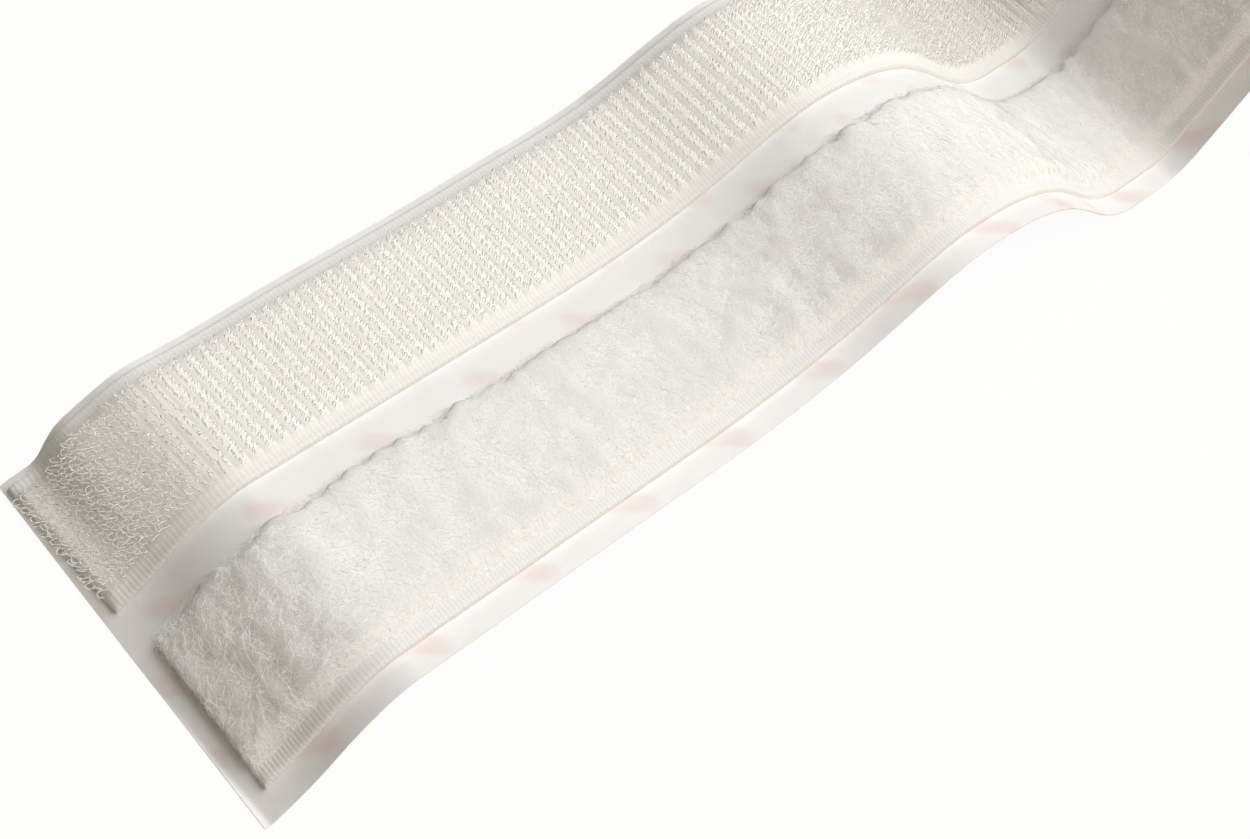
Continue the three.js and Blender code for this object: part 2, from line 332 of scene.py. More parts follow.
# Each tape is laid in three lengths, and each of them crosses one line where the tape bends:
# where it starts and ends, the bodies on the two sides of the bend, the joint and the reach of the bend
LENGTHS = {
    "front": (TAPE_FRONT, FLAP_CUT, "{}_flap", "{}_tip", "{}_curl", CURL_REACH),
    "middle": (FLAP_CUT, RAMP_CUT, "tail", "{}_flap", "{}_peel", PEEL_REACH),
    "rear": (RAMP_CUT, INNER_END, "roll", "tail", "tail_lift", -LIFT_REACH[0])}
STANDS_FOR = {
    "front": ["{0}_tip_{1}"], "middle": ["{0}_flap_{1}"], "rear": ["tail_{0}_{1}", "roll_{0}_{1}"]}


def bend_with_tape(piece):
    """The piece's transform is baked into its mesh."""
    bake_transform(piece)


def lay_piece(piece, tape, length, layer):
    """The piece's transform is baked, and it stands for the same layer of its tape in the frame, whose parts
    are hidden.
    """
    bend_with_tape(piece)
    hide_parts(*(name.format(tape, layer) for name in STANDS_FOR[length]))


TACKY_DARK, TACKY_PALE = (0.90, 0.89, 0.86, 1), (0.95, 0.945, 0.925, 1)

tacky, tree, shader = new_finish("adhesive", {"Roughness": 0.22, "IOR": 1.48})
smear = strip_noise(tree, scale=420, detail=3)
tree.links.new(mixed_colour(tree, smear, TACKY_DARK, TACKY_PALE), shader.inputs["Base Color"])
raise_bump(tree, shader, smear, strength=0.3, distance=0.0003)

for tape, (right, left) in TAPES.items():
    for length, (start, stop, *_) in LENGTHS.items():
        steps = np.arange(start, stop, COAT_STEP)
        across = np.linspace(right, left, COAT_COLUMNS)
        along = cut_askew(np.append(steps[:-1], stop)[:, None], across, tape)
        coat = band(f"{length}_{tape}_adhesive", along, across, ADHESIVE_LOW, ADHESIVE_HIGH, tacky)
        lay_piece(coat, tape, length, "adhesive")


# Woven grounds: tight nylon tapes with a flat ribbed selvage, where each weft pick turns back round the
# edge. The hook tape has a selvage on both sides and the loop tape only on its outer side.
GROUND_LOW, GROUND_HIGH = 0.00045, 0.00105
SELVAGE = 0.00185
RIB_HEIGHT = {"hook": 0.000016, "loop": 0.000028}
# From a tape's edge, the ribs fade out and the hooks' bed of knots sets in between these distances
RIBS_FADE = (SELVAGE - 0.0002, SELVAGE + 0.0004)
BED_FADE = (SELVAGE - 0.0004, SELVAGE + 0.0002)
BED_HEIGHT, BED_RIDGE = 0.0004, 0.00004
BED_FRONT = 0.0012
# An edge is rounded over this length, down to this share of the ground's thickness
EDGE_ROUND, EDGE_SHARE = 0.0005, 0.2
# The grid has close columns by each edge and a few in the middle, and long steps on the inner turns
MILLIMETRE = 0.001
EDGE_STEPS = np.array([0, 0.04, 0.1, 0.2, 0.35, 0.6, 1.4, 1.85, 2.1]) * MILLIMETRE
MIDDLE_FROM, MIDDLE_COLUMNS = 0.005, 3
ROLL_STEP = 0.002
# Painted shade of the bed under the hooks, which cast no shadow, and the painted shade that the grooves
# between its rows add. They set in at the first of these distances from a row, in row pitches, and they are
# at their darkest from the second one on.
FIELD_SHADE, GROOVE_SHADE = 0.12, 0.68
GROOVE_START, GROOVE_FULL = 0.3, 0.48
# The knife pinches the cut end: over this length, down to this share of the ground's thickness
PINCH_LENGTH, PINCH_SHARE = 0.0012, 0.3
# By the cut end the hooks are splayed, less and less between these distances, and hide the rows
SPLAY_FROM, SPLAY_TO = 0.014, 0.026
# Painted shade on the bed among the splayed hooks, on the slope by the cut end, which lies in shade
SPLAYED_SHADE = 0.62
# The colour that the painted shade of the bed and its grooves mixes in
PAINTED_SHADE_COLOUR = (0.72, 0.70, 0.65, 1)
# Warp ends lie this far apart. From one pick to the next they shift by half a pitch, and they stand up by
# this share of what the picks do.
END_PITCH, END_SHARE = 0.00045, 0.6
HALF_PITCH = 0.5

weave = bpy.data.node_groups.new("weave", "ShaderNodeTree")
weave.interface.new_socket("Place", in_out="INPUT", socket_type="NodeSocketVector")
for socket in ("Pick", "End"):
    weave.interface.new_socket(socket, in_out="INPUT", socket_type="NodeSocketFloat")
weave.interface.new_socket("Height", in_out="OUTPUT", socket_type="NodeSocketFloat")
given = weave.nodes.new("NodeGroupInput").outputs
result = weave.nodes.new("NodeGroupOutput").inputs
axes = put_node(weave, "ShaderNodeSeparateXYZ", {0: given["Place"]})
picks = maths(weave, "DIVIDE", axes.outputs["X"], given["Pick"])
ends = maths(weave, "DIVIDE", axes.outputs["Y"], given["End"])
shifted = maths(weave, "MULTIPLY_ADD", maths(weave, "FLOOR", picks), HALF_PITCH, ends)
pick_wave = maths(weave, "PINGPONG", picks, HALF_PITCH)
end_wave = maths(weave, "PINGPONG", shifted, HALF_PITCH)
weave.links.new(maths(weave, "MULTIPLY_ADD", end_wave, END_SHARE, pick_wave), result["Height"])


def point_shade(tree):
    """The extra value that each point of the mesh has."""
    return put_node(tree, "ShaderNodeAttribute", attribute_name="shade").outputs["Fac"]


def woven_finish(name, colour, shadow, pick):
    """Nylon weave: painted shade between the picks and the ends, which stand up as a fine bump, and more
    painted shade by each point's shade value."""
    material, tree, shader = new_finish(name, {"Roughness": 0.55, "IOR": 1.5, "Sheen Weight": 0.15})
    yarns = put_node(
        tree, "ShaderNodeGroup", {"Place": strip_map(tree), "Pick": pick, "End": END_PITCH}, node_tree=weave)
    height = yarns.outputs["Height"]
    # Painted shade in the low parts of the weave, between the picks and the ends
    tone = put_node(tree, "ShaderNodeMapRange", {"Value": height, "From Min": 0.05, "From Max": 0.6})
    woven = mixed_colour(tree, tone.outputs[0], shadow, colour)
    # Each point's value mixes in the painted shade of the hooks' bed and its grooves
    shaded_weave = mixed_colour(tree, point_shade(tree), woven, PAINTED_SHADE_COLOUR)
    tree.links.new(shaded_weave, shader.inputs["Base Color"])
    raise_bump(tree, shader, height, strength=0.5, distance=0.0001)
    return material


def quarter_round(depth, least):
    """From the least share up to 1 along a quarter ellipse, while the depth goes from 0 to 1."""
    return least + (1 - least) * np.sqrt(1 - (1 - np.clip(depth, 0, 1)) ** 2)


def pinched(along):
    """The share of its thickness that the ground keeps there: a quarter ellipse up from the cut end."""
    return quarter_round((along - TAPE_FRONT) / PINCH_LENGTH, PINCH_SHARE)


def splayed(along):
    """How splayed the hooks are there, 1 at the cut end and 0 further along the strip."""
    return 1 - soft_step(along, SPLAY_FROM, SPLAY_TO)


def woven_ground(length, tape, pick, material):
    """A flat tape whose top rounds off at its edges. In a selvage it is ribbed: the height and the edge
    follow a cosine of one pick. Under the hooks it rises to a bed of knots, a cosine of one row of hooks,
    with painted shade on the bed and darker painted shade in the grooves between the rows."""
    start, stop = LENGTHS[length][:2]
    right, left = TAPES[tape]
    turned = min(stop, TAKE_OFF) - min(stop, TAKE_OFF) % pick
    detailed = np.arange(start, turned, pick / 4)
    coarse = np.arange(turned, min(stop, OUTER_TURN_END), pick / 2)
    along = np.concatenate([detailed, coarse, np.arange(max(turned, OUTER_TURN_END), stop, ROLL_STEP)])
    along = np.append(along[along < stop - pick / 4], stop)[:, None]
    middle = np.linspace(right + MIDDLE_FROM, left - MIDDLE_FROM, MIDDLE_COLUMNS)
    across = np.concatenate([right + EDGE_STEPS, middle, left - EDGE_STEPS[::-1]])
    to_edge = np.minimum(across - right, left - across)
    to_ribs = to_edge if tape == "hook" else across - right
    ribs = (1 - soft_step(to_ribs, *RIBS_FADE)) * np.cos(2 * np.pi * along / pick)
    thickness = (GROUND_HIGH - GROUND_LOW) * quarter_round(to_edge / EDGE_ROUND, EDGE_SHARE)
    high = GROUND_LOW + thickness + RIB_HEIGHT[tape] * ribs
    row_place = (along - FIRST_ROW) / ROW_PITCH
    off_row = np.abs(row_place - np.round(row_place))
    in_field = soft_step(to_edge, *BED_FADE) * (tape == "hook")
    in_field = in_field * soft_step(along, TAPE_FRONT, TAPE_FRONT + BED_FRONT)
    ridges = BED_RIDGE * np.cos(2 * np.pi * row_place) * (1 - splayed(along))
    high = high + in_field * (BED_HEIGHT + ridges)
    high = GROUND_LOW + (high - GROUND_LOW) * pinched(along)
    # Painted shade: on the bed under the hooks, which cast no shadow, more in the grooves between rows, and
    # more again among the splayed hooks
    bed_shade = GROOVE_SHADE * soft_step(off_row, GROOVE_START, GROOVE_FULL)
    bed_shade = in_field * (FIELD_SHADE + bed_shade + (SPLAYED_SHADE - bed_shade) * splayed(along))
    outwards = np.sign(across - (right + left) / 2) * (1 - soft_step(to_edge, 0, EDGE_ROUND))
    across = across + RIB_HEIGHT[tape] * ribs * outwards
    along = cut_askew(along, across, tape)
    return band(f"{length}_{tape}_ground", along, across, GROUND_LOW, high, material, bed_shade)


hook_weave = woven_finish("hook tape weave", (0.96, 0.955, 0.94, 1), (0.85, 0.84, 0.81, 1), HOOK_PICK)
loop_weave = woven_finish("loop tape weave", (0.96, 0.955, 0.95, 1), (0.86, 0.85, 0.835, 1), LOOP_PICK)
for length, (start, stop, *_) in LENGTHS.items():
    hook_ground = woven_ground(length, "hook", HOOK_PICK, hook_weave)
    lay_piece(hook_ground, "hook", length, "ground")
    loop_ground = woven_ground(length, "loop", LOOP_PICK, loop_weave)
    lay_piece(loop_ground, "loop", length, "ground")


# Hooks: clear nylon monofilament woven in as arches on every third pick. Each row has two lines of them,
# and each arch is cut through on one side, which leaves a hook and the short stub of its other leg.
HOOK_MARGIN = 0.0004
FIELD_RIGHT, FIELD_LEFT = HOOK_RIGHT + SELVAGE + HOOK_MARGIN, HOOK_LEFT - SELVAGE - HOOK_MARGIN
HOOKS_IN_ROW = 42
# The row's two lines lie this far before and behind its middle
LINE_SHIFT = 0.00037
WIRE_RADIUS = 0.00009
CROWN_RADIUS, SPLAYED_RADIUS = 0.0002, 0.00038
CROWN_HEIGHT = 0.00095
# The stub's height, and its distance from mid-arch as a share of the crown's radius
STUB_HEIGHT, STUB_SHARE = 0.00085, 0.9
FOOT_DEPTH = 0.0001
WIRE_CORNERS = 4
WIRE_RINGS = 5
TIP_ANGLE = np.radians(-35)
# Random spread of each hook's place, turn, size, sideways lean and tilt along the tape
ALONG_SPREAD, ACROSS_SPREAD = 0.00004, 0.00006
TURN_SPREAD, SIZE_SPREAD = 0.45, 0.04
LEAN_SPREAD, TILT_SPREAD = 0.1, 0.04
# What a splayed hook has besides: more spread along, a tilt towards the cut end, and a darker wire,
# which is painted shade for the slope by the cut end
SPLAY_ALONG, SPLAY_TILT, SPLAY_TILT_SPREAD = 0.00005, -0.45, 0.12
SPLAYED_WIRE_SHADE = 0.95
# Painted shade: how pale a wire is at its foot, in the shade of the bed and the other hooks, and the
# least share of the way to white that its crown goes from there, drawn at random for each hook
SHADED_FOOT_TONE, PALE_LEAST = 0.33, 0.8
WIRE_DARK, WIRE_PALE = (0.76, 0.75, 0.70, 1), (1, 0.995, 0.985, 1)
# On the inner turns only the edges show, so a plain band fills the field between the outermost columns
PACKED_LOW, PACKED_HIGH = GROUND_HIGH + 0.00005, STACK - 0.0001
PACKED_COLUMNS = 4

nylon, tree, shader = new_finish("clear nylon", {"Roughness": 0.12, "IOR": 1.53, "Transmission Weight": 0.4})
# Each point's value mixes painted shade, at the hook's foot and on the splayed hooks, with a random tone of
# its crown
tree.links.new(mixed_colour(tree, point_shade(tree), WIRE_DARK, WIRE_PALE), shader.inputs["Base Color"])


def wire_template(crown):
    """Rings of corners round the hook's centre line, a leg and then an arc of that radius over to the
    tip, and round the stub of the other leg. Coordinates are along, across and up, from mid-arch."""
    arc = np.linspace(np.pi, TIP_ANGLE, WIRE_RINGS - 1)
    line = np.stack([crown * np.cos(arc), CROWN_HEIGHT + crown * np.sin(arc)], axis=1)
    line = np.concatenate([[(-crown, -FOOT_DEPTH)], line])
    stub = np.array([(STUB_SHARE * crown, -FOOT_DEPTH), (STUB_SHARE * crown, STUB_HEIGHT)])
    out = np.concatenate([[(-1, 0)], np.stack([np.cos(arc), np.sin(arc)], axis=1)])
    stub_out = np.array([(1, 0), (1, 0)])
    corner = np.linspace(0, 2 * np.pi, WIRE_CORNERS, endpoint=False)

    def rings(centre, normal):
        reach = WIRE_RADIUS * np.cos(corner)[None, :, None] * normal[:, None, :]
        flat = centre[:, None, :] + reach
        side = np.broadcast_to(WIRE_RADIUS * np.sin(corner), flat.shape[:2])
        return np.stack([flat[..., 0], side, flat[..., 1]], axis=-1)

    return np.concatenate([rings(line, out), rings(stub, stub_out)])


def wire_faces():
    """Four-sided faces round the hook's tube and the stub's tube, and one cap on each of their ends."""
    stub_start = WIRE_RINGS * WIRE_CORNERS
    sides = np.concatenate([tube_faces(WIRE_RINGS, WIRE_CORNERS), tube_faces(2, WIRE_CORNERS) + stub_start])
    cap = np.arange(WIRE_CORNERS)
    hook_end, stub_end = stub_start - WIRE_CORNERS, stub_start + WIRE_CORNERS
    caps = np.stack([cap[::-1], cap + hook_end, cap[::-1] + stub_start, cap + stub_end])
    return sides, caps


def hook_rows(name, start, stop, columns):
    """Rows of hooks at the row pitch. Neighbours stand in the row's two lines and face opposite ways,
    and each hook is moved, turned, leant and scaled a little at random. It is painted with shade at its
    foot that pales towards its crown. A splayed hook is wider, painted darker with shade, and tilts over
    towards the cut end."""
    rows = FIRST_ROW + ROW_PITCH * np.arange(*np.ceil((np.array([start, stop]) - FIRST_ROW) / ROW_PITCH))
    along, across = (grid.ravel() for grid in np.meshgrid(rows, columns, indexing="ij"))
    facing = np.tile(np.where(np.arange(len(columns)) % 2, 1.0, -1.0), len(rows))
    splay = splayed(along)
    line_shift = LINE_SHIFT + (ROW_PITCH / 4 - LINE_SHIFT) * splay
    along = along + line_shift * facing + rng.normal(0, ALONG_SPREAD + SPLAY_ALONG * splay)
    across = across + rng.normal(0, ACROSS_SPREAD, len(along))
    turn = np.pi / 2 + rng.normal(0, TURN_SPREAD, len(along))[:, None]
    size = rng.normal(1, SIZE_SPREAD, len(along))[:, None]
    lean = rng.normal(0, LEAN_SPREAD, len(along))[:, None]
    tilt = rng.normal(SPLAY_TILT * splay, TILT_SPREAD + SPLAY_TILT_SPREAD * splay)[:, None]
    upright, opened = (wire_template(crown).reshape(1, -1, 3) for crown in (CROWN_RADIUS, SPLAYED_RADIUS))
    shape = upright + (opened - upright) * splay[:, None, None]
    up = shape[..., 2] * size
    ahead = facing[:, None] * (shape[..., 0] * np.cos(turn) - shape[..., 1] * np.sin(turn)) + up * tilt
    aside = facing[:, None] * (shape[..., 0] * np.sin(turn) + shape[..., 1] * np.cos(turn)) + up * lean
    along = cut_askew(along, across, "hook")
    height = np.minimum(GROUND_HIGH + up, STACK)
    points = on_strip(along[:, None] + ahead, across[:, None] + aside, height)
    count = shape.shape[1]
    first = count * np.arange(len(along))[:, None, None]
    faces = [(group[None] + first).reshape(-1, group.shape[1]) for group in wire_faces()]
    place = np.repeat(np.stack([along, across], axis=1), count, axis=0)
    crown_tone = rng.uniform(PALE_LEAST, 1, (len(along), 1))
    # Painted shade: dark at the foot, paling up to the crown, and darker again on the splayed hooks
    shade_and_tone = soft_step(shape[..., 2], BED_HEIGHT, CROWN_HEIGHT) * crown_tone
    shade_and_tone = (SHADED_FOOT_TONE + (1 - SHADED_FOOT_TONE) * shade_and_tone) * (1 - SPLAYED_WIRE_SHADE * splay[:, None])
    hooks = put_mesh(name, points.reshape(-1, 3), faces, place, nylon, shade_and_tone.ravel())
    hooks.visible_shadow = False
    return hooks


hook_columns = np.linspace(FIELD_RIGHT, FIELD_LEFT, HOOKS_IN_ROW)
for length, (start, stop, *_) in LENGTHS.items():
    hooks = hook_rows(f"{length}_hooks", start, min(stop, TAKE_OFF), hook_columns)
    lay_piece(hooks, "hook", length, "field")
half_turn = (TAKE_OFF + OUTER_TURN_END) / 2
for number, (start, stop) in enumerate([(TAKE_OFF, half_turn), (half_turn, OUTER_TURN_END)], 1):
    hooks = hook_rows(f"roll_hooks_{number}", start, stop, hook_columns)
    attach(hooks, "roll")
wound_hooks = hook_rows("wound_hooks", OUTER_TURN_END, INNER_END, hook_columns[[0, -1]])
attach(wound_hooks, "roll")
packed_along = np.append(np.arange(OUTER_TURN_END, INNER_END, ROLL_STEP), INNER_END)[:, None]
packed_across = np.linspace(hook_columns[1], hook_columns[-2], PACKED_COLUMNS)
# With no point values the band has the wire's darkest colour, that of its painted shade, all over
packed_hooks = band("packed_hooks", packed_along, packed_across, PACKED_LOW, PACKED_HIGH, nylon)
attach(packed_hooks, "roll")


# Loop pile: brushed nylon loops, a soft mat of fine curly fibres. It hangs over the tape's inner edge,
# and it stops short of the ribbed selvage on the outer side.
PILE_LOW, MAT_HIGH = 0.001, 0.0021
PILE_RIGHT, PILE_LEFT = LOOP_RIGHT + SELVAGE, LOOP_LEFT
# The mat's grid, and how many grid steps its ragged edge, lumps and clouds are smoothed over
MAT_GRID, MAT_COLUMNS, MAT_ROLL_POINTS = 0.0004, 40, 400
RAGGED_STEPS, LUMP_STEPS, CLOUD_STEPS = 4, 3, 7
LUMP_HEIGHT, CLOUD_HEIGHT = 0.00003, 0.00006
# How ragged the inner edge is, from this share of the mat's width on
EDGE_RAGGED, RAGGED_FROM = 0.00028, 0.9
# The pile thins out between these distances from the ribbed selvage
THIN_FROM, THIN_TO = -0.0003, 0.0022
# It rounds off over these lengths at its inner edge and its cut end, down to these shares of its height
DOME_SIDE, SIDE_SHARE = 0.0035, 0.4
DOME_FRONT, FRONT_SHARE = 0.0045, 0.12
FIBRE_DARK, FIBRE_PALE = (0.88, 0.875, 0.86, 1), (0.97, 0.965, 0.955, 1)
MAT_DARK, MAT_PALE = (0.87, 0.865, 0.85, 1), (0.95, 0.945, 0.935, 1)

brushed, tree, shader = new_finish("brushed loops", {"Roughness": 0.6, "IOR": 1.5})
tree.links.new(mixed_colour(tree, point_shade(tree), FIBRE_DARK, FIBRE_PALE), shader.inputs["Base Color"])

matted, tree, shader = new_finish("matted loops", {"Roughness": 0.9, "IOR": 1.5})
felt = strip_noise(tree, scale=2400, detail=4, distortion=0.8)
tree.links.new(mixed_colour(tree, felt, MAT_DARK, MAT_PALE), shader.inputs["Base Color"])
raise_bump(tree, shader, felt, strength=0.4, distance=0.0002)


def smoothed(noise, reach):
    """Noise averaged over a soft window of that many grid steps, each way, and brought to unit spread."""
    window = np.hanning(2 * reach + 1)
    for axis in range(noise.ndim):
        if noise.shape[axis] > 1:
            noise = np.apply_along_axis(np.convolve, axis, noise, window, mode="same")
    return noise / noise.std()


def even_steps(start, stop):
    """Distances from start, and up to stop without it, about one step of the mat's grid apart."""
    return np.linspace(start, stop, round((stop - start) / MAT_GRID), endpoint=False)


MAT_ALONG = np.concatenate([
    even_steps(TAPE_FRONT, FLAP_CUT), even_steps(FLAP_CUT, RAMP_CUT), even_steps(RAMP_CUT, TAKE_OFF),
    np.arange(TAKE_OFF, OUTER_TURN_END, 2 * MAT_GRID),
    np.linspace(OUTER_TURN_END, INNER_END, MAT_ROLL_POINTS)])[:, None]
MAT_SHARE = np.linspace(0, 1, MAT_COLUMNS)
MAT_RAGGED = EDGE_RAGGED * smoothed(rng.normal(size=MAT_ALONG.shape), RAGGED_STEPS)
MAT_LUMPS = (
    LUMP_HEIGHT * smoothed(rng.normal(size=(len(MAT_ALONG), MAT_COLUMNS)), LUMP_STEPS)
    + CLOUD_HEIGHT * smoothed(rng.normal(size=(len(MAT_ALONG), MAT_COLUMNS)), CLOUD_STEPS))
# A row of the grid that lies this close to a cut belongs to both of its sides
CUT_SLACK = 1e-6


def pile_share(along, across):
    """How much of its full height the pile has there. It thins out towards the ribbed selvage, and it
    rounds off as a quarter ellipse towards its inner edge and its cut end."""
    inner = quarter_round((PILE_LEFT - across) / DOME_SIDE, SIDE_SHARE)
    front = quarter_round((along - TAPE_FRONT) / DOME_FRONT, FRONT_SHARE)
    return soft_step(across - PILE_RIGHT, THIN_FROM, THIN_TO) * inner * front


def pile_mat(name, start, stop):
    """The dense lower part of the pile: a thick sheet with a lumpy top and a ragged inner edge. Each length
    is cut out of one long mat, so that the lumps run on from one length to the next."""
    cut = slice(*np.searchsorted(MAT_ALONG[:, 0], [start - CUT_SLACK, stop + CUT_SLACK]))
    across = PILE_RIGHT + MAT_SHARE * (PILE_LEFT - PILE_RIGHT)
    share = pile_share(MAT_ALONG[cut], across)
    low = GROUND_LOW + (PILE_LOW - GROUND_LOW) * pinched(MAT_ALONG[cut])
    high = low + (MAT_HIGH - PILE_LOW + MAT_LUMPS[cut]) * share
    across = across + MAT_RAGGED[cut] * soft_step(MAT_SHARE, RAGGED_FROM, 1)
    along = cut_askew(MAT_ALONG[cut], across, "loop")
    return band(name, along, across, low, np.minimum(high, STACK), matted)


FIBRE_RADIUS = 0.000018
FIBRE_POINTS, FIBRE_CORNERS = 5, 3
# Least and greatest length, waves and arch of a fibre, and the spread of its drift and swing in radians
FIBRE_LENGTH, FIBRE_WAVES, FIBRE_ARCH = (0.0012, 0.0032), (0.5, 1.3), (0, 0.0002)
DRIFT_SPREAD, SWING_SPREAD = 1.4, 0.6
# Each fibre is turned back at some distance past the pile's edges: the least and the greatest one at the
# selvage and at the cut end, and the same at the inner edge, where the greatest is called the overhang
RIGHT_REACH, FRONT_REACH = (-0.0003, 0.0008), (-0.0002, 0.0006)
LEFT_LEAST, OVERHANG = -0.0003, 0.0005
# Where the pile has thinned out, a fibre still has this share of its height
FLAT_SHARE = 0.1
# Keeps the length of a direction above zero
TINY = 1e-12


def fibres(name, count, along_range, across_range, heights, spread=np.pi, heading=0.0, overhang=OVERHANG):
    """Curly fibres: chains of equal steps whose heading swings as a sine and drifts, and whose height
    arches over. One that would leave the pile is turned back. Each is a three-sided tube round its chain."""
    t = np.linspace(0, 1, FIBRE_POINTS)
    first_along, first_across = rng.uniform(*along_range, count), rng.uniform(*across_range, count)
    askew = cut_askew(first_along, first_across, "loop") - first_along
    heading = (rng.uniform(-spread, spread, count) + heading)[:, None]
    step = rng.uniform(*FIBRE_LENGTH, count)[:, None] / (FIBRE_POINTS - 1)
    drift, swing = (rng.normal(0, width, count)[:, None] for width in (DRIFT_SPREAD, SWING_SPREAD))
    waves, phase = (rng.uniform(*limits, count)[:, None] for limits in (FIBRE_WAVES, (0, 2 * np.pi)))
    base, arch = (rng.uniform(*limits, count)[:, None] for limits in (heights, FIBRE_ARCH))
    way = heading + drift * t + swing * np.sin(2 * np.pi * waves * t + phase)
    along = first_along[:, None] + np.cumsum(np.cos(way), axis=1) * step
    across = first_across[:, None] + np.cumsum(np.sin(way), axis=1) * step
    right_end = PILE_RIGHT - rng.uniform(*RIGHT_REACH, count)[:, None]
    left_end = PILE_LEFT + rng.uniform(LEFT_LEAST, overhang, count)[:, None]
    across = right_end + np.abs(left_end - np.abs(left_end - across) - right_end)
    front_end = TAPE_FRONT - rng.uniform(*FRONT_REACH, count)[:, None]
    along = front_end + np.abs(along - front_end)
    ground = GROUND_LOW + (GROUND_HIGH - GROUND_LOW) * pinched(along)
    height = base + arch * np.sin(np.pi * t) - GROUND_HIGH
    share = FLAT_SHARE + (1 - FLAT_SHARE) * pile_share(along, across)
    line = np.stack([along + askew[:, None], across, np.minimum(ground + height * share, STACK)], axis=-1)
    ahead = np.gradient(line, axis=1)
    ahead /= np.linalg.norm(ahead, axis=-1, keepdims=True) + TINY
    side = np.cross(ahead, (0, 0, 1))
    side /= np.linalg.norm(side, axis=-1, keepdims=True) + TINY
    up = np.cross(side, ahead)
    corner = 2 * np.pi * np.arange(FIBRE_CORNERS)[:, None] / FIBRE_CORNERS
    round_line = np.cos(corner) * side[:, :, None, :] + np.sin(corner) * up[:, :, None, :]
    shape = (line[:, :, None, :] + FIBRE_RADIUS * round_line).reshape(-1, 3)
    points = FIBRE_POINTS * FIBRE_CORNERS
    first = points * np.arange(count)[:, None, None]
    sides = (tube_faces(FIBRE_POINTS, FIBRE_CORNERS)[None] + first).reshape(-1, 4)
    ends = np.array([[2, 1, 0], [points - 3, points - 2, points - 1]])
    caps = (ends[None] + first).reshape(-1, FIBRE_CORNERS)
    shade = np.repeat(rng.uniform(0, 1, count), points)
    fuzz = put_mesh(name, on_strip(*shape.T), [sides, caps], shape[:, :2], brushed, shade)
    fuzz.visible_shadow = False
    return fuzz


# Fibres on top of the mat: how many on an area, their heights, and the greatest length of one piece of them.
# The roll's outer turn has this share of them on its area, in this number of pieces.
FIBRES_PER_AREA, ROLL_SHARE = 4.6e6, 0.3
FUZZ_HEIGHTS = (0.00198, 0.0022)
FUZZ_PIECE, ROLL_PIECES = 0.055, 3
PILE_ACROSS = (PILE_RIGHT, PILE_LEFT)
PILE_WIDTH = PILE_LEFT - PILE_RIGHT
# Fringes that hang over the inner edge and over the cut end
FRINGE_SPREAD = 1.0
FRINGE_PER_LENGTH, FRINGE_HEIGHTS = 12000, (0.0008, 0.002)
FRINGE_DEPTH, FRINGE_OVERHANG = 0.001, 0.001
FRINGE_ACROSS = (PILE_LEFT - FRINGE_DEPTH, PILE_LEFT)
END_COUNT, END_HEIGHTS = 500, (0.0011, 0.0022)
END_DEPTH = 0.002
END_ALONG = (TAPE_FRONT, TAPE_FRONT + END_DEPTH)

for length, (start, stop, *_) in LENGTHS.items():
    mat = pile_mat(f"{length}_loop_mat", start, stop)
    lay_piece(mat, "loop", length, "pile")
    stop = min(stop, TAKE_OFF)
    parts = np.linspace(start, stop, 1 + int(np.ceil((stop - start) / FUZZ_PIECE)))
    for number, part in enumerate(zip(parts[:-1], parts[1:]), 1):
        count = int((part[1] - part[0]) * PILE_WIDTH * FIBRES_PER_AREA)
        fuzz = fibres(f"{length}_loop_fuzz_{number}", count, part, PILE_ACROSS, FUZZ_HEIGHTS)
        bend_with_tape(fuzz)
    count = int((stop - start) * FRINGE_PER_LENGTH)
    fringe = fibres(
        f"{length}_loop_fringe", count, (start, stop), FRINGE_ACROSS, FRINGE_HEIGHTS,
        spread=FRINGE_SPREAD, heading=np.pi / 2, overhang=FRINGE_OVERHANG)
    bend_with_tape(fringe)
end_fringe = fibres(
    "front_loop_end", END_COUNT, END_ALONG, PILE_ACROSS, END_HEIGHTS, spread=FRINGE_SPREAD, heading=np.pi)
bend_with_tape(end_fringe)
parts = np.linspace(TAKE_OFF, OUTER_TURN_END, ROLL_PIECES + 1)
for number, part in enumerate(zip(parts[:-1], parts[1:]), 1):
    count = int((part[1] - part[0]) * PILE_WIDTH * FIBRES_PER_AREA * ROLL_SHARE)
    fuzz = fibres(f"roll_loop_fuzz_{number}", count, part, PILE_ACROSS, FUZZ_HEIGHTS)
    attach(fuzz, "roll")


# Table, light and camera: a white table, one large soft lamp high up behind and to the right, a small warm
# one low in front on the right, a dim warm room with pale walls, and the camera where the photo was taken.
HALF_TABLE = 6.0
TABLE_COLOUR = (0.6, 0.55, 0.47, 1)
# The table's own light, and its share in what is seen of the table
TABLE_GLOW, GLOW_SHARE = 1.04, 0.92
# Each lamp's place, size, power and colour
LAMPS = {
    "key": ((1.1, -0.45, 1.9), 2.25, 59, (1, 1, 1)),
    "fill": ((0.1, -0.85, 0.3), 0.6, 1.1, (1, 0.74, 0.48))}
ROOM_LIGHT = 0.12
ROOM_COLOUR = (1, 0.80, 0.58, 1)
WHITE = (1, 1, 1, 1)
# The pale walls as they shine in gloss and film, and as they are seen past the table's edge
WALL_LIGHT, BACKDROP = 0.75, 1.0
CAMERA_PLACE = (-0.18929, -0.09029, 0.19892)
CAMERA_TURN = (35.9226, -10.6522, -43.2344)
CAMERA_LENS = 59.83


def seen_share(tree, ray):
    """1 for rays that come straight from the camera, off gloss or through film, and 0 for other rays."""
    sharp = maths(tree, "MAXIMUM", ray["Is Camera Ray"], ray["Is Glossy Ray"])
    return maths(tree, "MAXIMUM", sharp, ray["Is Transmission Ray"])


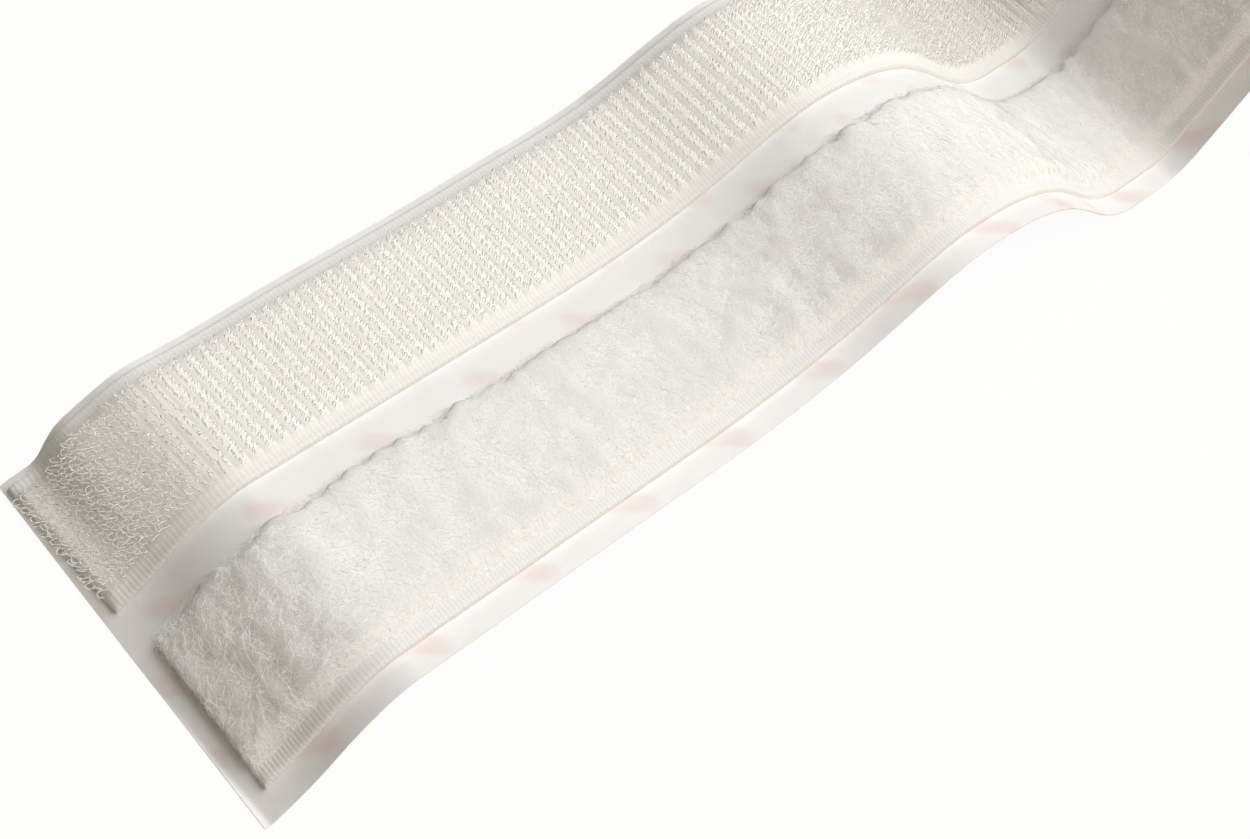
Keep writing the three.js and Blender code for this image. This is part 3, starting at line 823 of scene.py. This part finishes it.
table_mesh = bpy.data.meshes.new("table")
corners = [(HALF_TABLE * x, HALF_TABLE * y, 0) for x, y in ((-1, -1), (1, -1), (1, 1), (-1, 1))]
table_mesh.from_pydata(corners, [], [(0, 1, 2, 3)])
table = bpy.data.objects.new("table", table_mesh)
bpy.context.scene.collection.objects.link(table)
white = bpy.data.materials.new("white table")
white.use_nodes = True
tree = white.node_tree
tree.nodes.clear()
ray = put_node(tree, "ShaderNodeLightPath").outputs
plain = put_node(tree, "ShaderNodeBsdfDiffuse", {"Color": TABLE_COLOUR})
bright = put_node(tree, "ShaderNodeEmission", {"Color": WHITE, "Strength": TABLE_GLOW})
share = maths(tree, "MULTIPLY", seen_share(tree, ray), GLOW_SHARE)
mixed = put_node(tree, "ShaderNodeMixShader", {0: share, 1: plain.outputs[0], 2: bright.outputs[0]})
put_node(tree, "ShaderNodeOutputMaterial", {"Surface": mixed.outputs[0]})
table_mesh.materials.append(white)

world = bpy.data.worlds.new("room")
bpy.context.scene.world = world
world.use_nodes = True
tree = world.node_tree
tree.nodes.clear()
ray = put_node(tree, "ShaderNodeLightPath").outputs
warm = put_node(tree, "ShaderNodeBackground", {"Color": ROOM_COLOUR, "Strength": ROOM_LIGHT})
strength = maths(tree, "MULTIPLY_ADD", ray["Is Camera Ray"], BACKDROP - WALL_LIGHT, WALL_LIGHT)
pale = put_node(tree, "ShaderNodeBackground", {"Color": WHITE, "Strength": strength})
mixed = put_node(tree, "ShaderNodeMixShader", {
    0: seen_share(tree, ray), 1: warm.outputs[0], 2: pale.outputs[0]})
put_node(tree, "ShaderNodeOutputWorld", {"Surface": mixed.outputs[0]})

for name, (place, size, power, colour) in LAMPS.items():
    lamp_data = bpy.data.lights.new(name, "AREA")
    lamp_data.size = size
    lamp_data.energy = power
    lamp_data.color = colour
    lamp = bpy.data.objects.new(name, lamp_data)
    lamp.location = place
    lamp.rotation_euler = (-lamp.location).to_track_quat("-Z", "Y").to_euler()
    bpy.context.scene.collection.objects.link(lamp)

camera_data = bpy.data.cameras.new("camera")
camera_data.lens = CAMERA_LENS
camera_data.clip_start = 0.01
camera = bpy.data.objects.new("camera", camera_data)
camera.location = CAMERA_PLACE
camera.rotation_euler = np.radians(CAMERA_TURN)
bpy.context.scene.collection.objects.link(camera)
bpy.context.scene.camera = camera
bpy.context.scene.view_settings.view_transform = "Standard"
